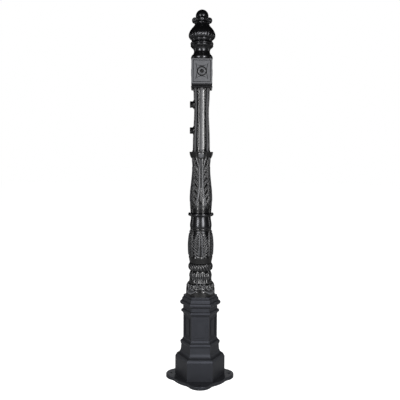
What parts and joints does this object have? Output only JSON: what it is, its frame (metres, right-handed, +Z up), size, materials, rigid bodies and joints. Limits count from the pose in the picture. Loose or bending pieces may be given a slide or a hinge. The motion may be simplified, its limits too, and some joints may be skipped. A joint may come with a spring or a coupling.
{
  "type": "street clock post",
  "caption": "Ornamental cast-iron street post with a bolted base, leaf castings, fluted shaft, side bosses for a bracket, square capital, finial and a rear service door.",
  "frame": {"origin": "centre of the post on the ground, at the underside of the base flange", "axes": "+Z up the post; -Y is the front; the bracket bosses point along -X; the service door faces +Y"},
  "size_m": [0.432, 0.432, 2.3],
  "materials": {
    "painted_casting": "sand-cast iron under black satin-gloss enamel",
    "core_steel": "mill-finish structural steel",
    "zinc_fasteners": "zinc-plated steel",
    "painted_screws": "steel screws enamelled black with the casting",
    "brass": "turned brass, slightly dulled",
    "hinge_steel": "ground stainless pin",
    "lock_metal": "nickel-plated lock parts",
    "gasket_rubber": "matte black rubber",
    "board_laminate": "brown phenolic laminate",
    "cutout_plastic": "moulded black and grey insulator"
  },
  "bodies": {
    "post": {"base_casting": "painted_casting", "board_clamps": "core_steel", "board_screws": "zinc_fasteners", "boss_inserts": "brass", "bridge_bolts": "zinc_fasteners", "bridge_plate": "core_steel", "cable_bush": "gasket_rubber", "cap_bolts": "zinc_fasteners", "cap_nuts": "zinc_fasteners", "capital_block": "painted_casting", "capital_foot": "painted_casting", "centring_rings": "core_steel", "collar_ring": "painted_casting", "core_tube": "core_steel", "door_gasket": "gasket_rubber", "earth_stud": "brass", "finial_base": "painted_casting", "finial_bulb": "painted_casting", "finial_crown": "painted_casting", "finial_stud": "zinc_fasteners", "fluted_shaft": "painted_casting", "fused_cutout": "cutout_plastic", "hinge_pins": "hinge_steel", "leaf_baluster": "painted_casting", "leaf_sleeve": "painted_casting", "neck_collar": "painted_casting", "pedestal_bolts": "zinc_fasteners", "pedestal_cap": "painted_casting", "pedestal_casting": "painted_casting", "pedestal_nuts": "zinc_fasteners", "plain_band": "painted_casting", "ring_nuts": "zinc_fasteners", "rope_ring": "painted_casting", "rosette_screws": "painted_screws", "supply_board": "board_laminate", "terminal_block": "cutout_plastic", "top_washer": "core_steel", "tube_plug": "core_steel"},
    "door": {"service_door": "painted_casting", "lock_bush": "lock_metal", "lock_nut": "lock_metal"},
    "lock": {"lock_spindle": "lock_metal", "lock_cam": "lock_metal", "cam_screw": "zinc_fasteners"}
  },
  "joints": [
    {"name": "door_swing", "type": "hinge", "parent": "post", "child": "door", "pos_m": [0.046, 0.0975, 0.3335], "axis": [0, 0, -1], "range_deg": [0, 110]},
    {"name": "lock_turn", "type": "hinge", "parent": "door", "child": "lock", "pos_m": [-0.027, 0.0785, 0.3335], "axis": [0, 1, 0], "range_deg": [0, 90]}
  ]
}
